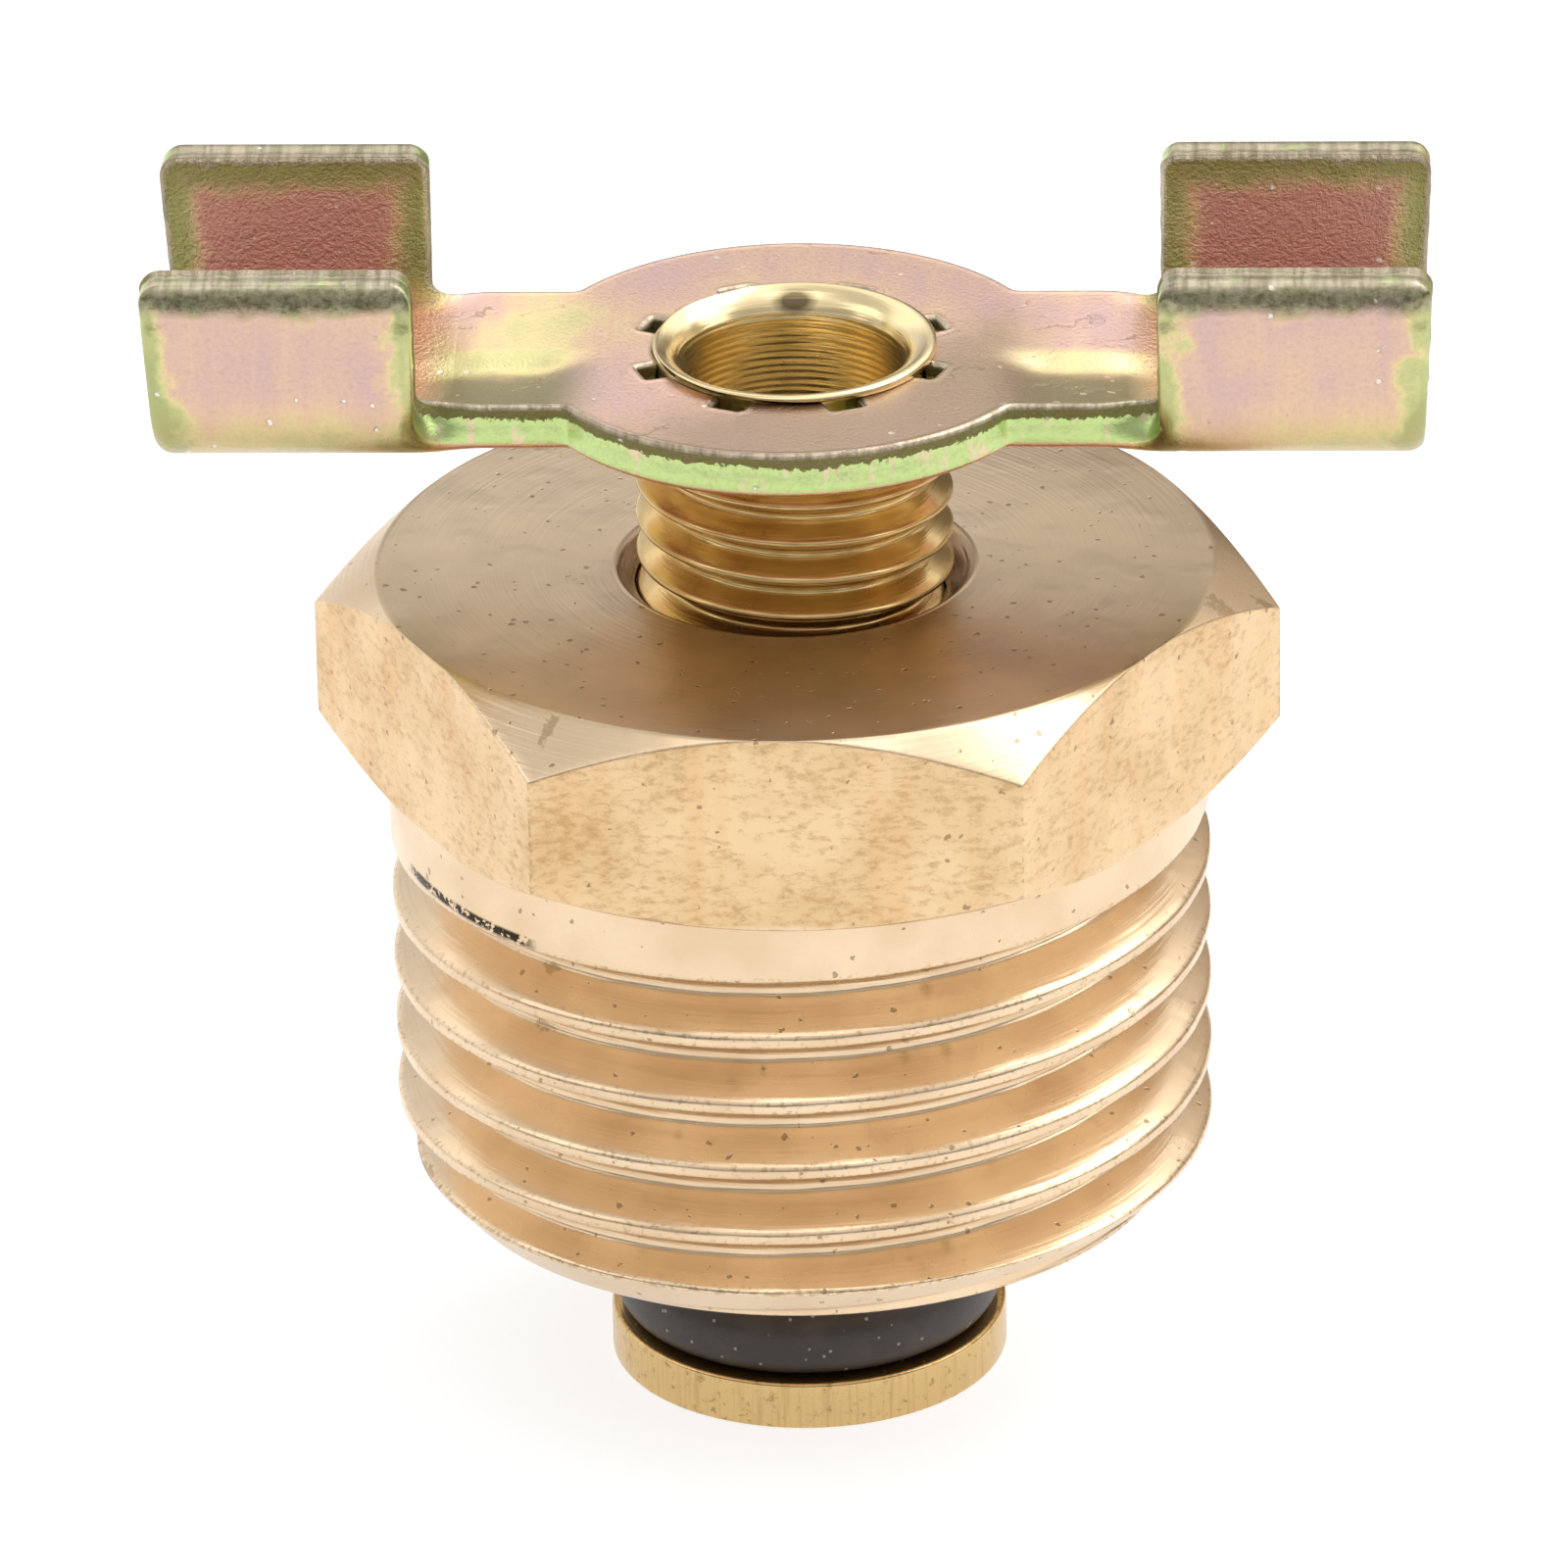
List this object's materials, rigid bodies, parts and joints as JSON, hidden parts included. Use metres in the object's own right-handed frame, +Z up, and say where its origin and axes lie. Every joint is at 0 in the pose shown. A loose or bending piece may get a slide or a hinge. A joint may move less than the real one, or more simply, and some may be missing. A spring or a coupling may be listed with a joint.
{
  "type": "drain cock",
  "caption": "Drain cock with a hexagon body on a parallel pipe thread, a hollow screwed stem with an O-ring seal, and a pressed wing handle.",
  "frame": {"origin": "centre of the underside of the stem's flange, on which the part stands", "axes": "+Z up along the stem, out of its drain bore; the handle's wings lie near +X and -X"},
  "size_m": [0.0322, 0.0216, 0.0314],
  "materials": {
    "turned_brass": "turned, pale and dull",
    "stem_brass": "turned, golden",
    "seal_rubber": "satin black",
    "zinc_plated_steel": "zinc plated and yellow passivated"
  },
  "bodies": {
    "root": {"valve_body": "turned_brass"},
    "seal": {"o_ring": "seal_rubber"},
    "spindle": {"stem": "stem_brass", "wing_handle": "zinc_plated_steel"}
  },
  "joints": [
    {"name": "seal_lift", "type": "slide", "parent": "root", "child": "seal", "axis": [0, 0, 1], "range_m": [-0.00396, 0.00291]},
    {"name": "handle_turn", "type": "hinge", "parent": "seal", "child": "spindle", "pos_m": [0, 0, 0], "axis": [0, 0, 1], "range_deg": [-1044, 1422]}
  ],
  "couplings": [
    {"joint": "seal_lift", "follows": "handle_turn", "m_per_rad": -0.00015915}
  ]
}
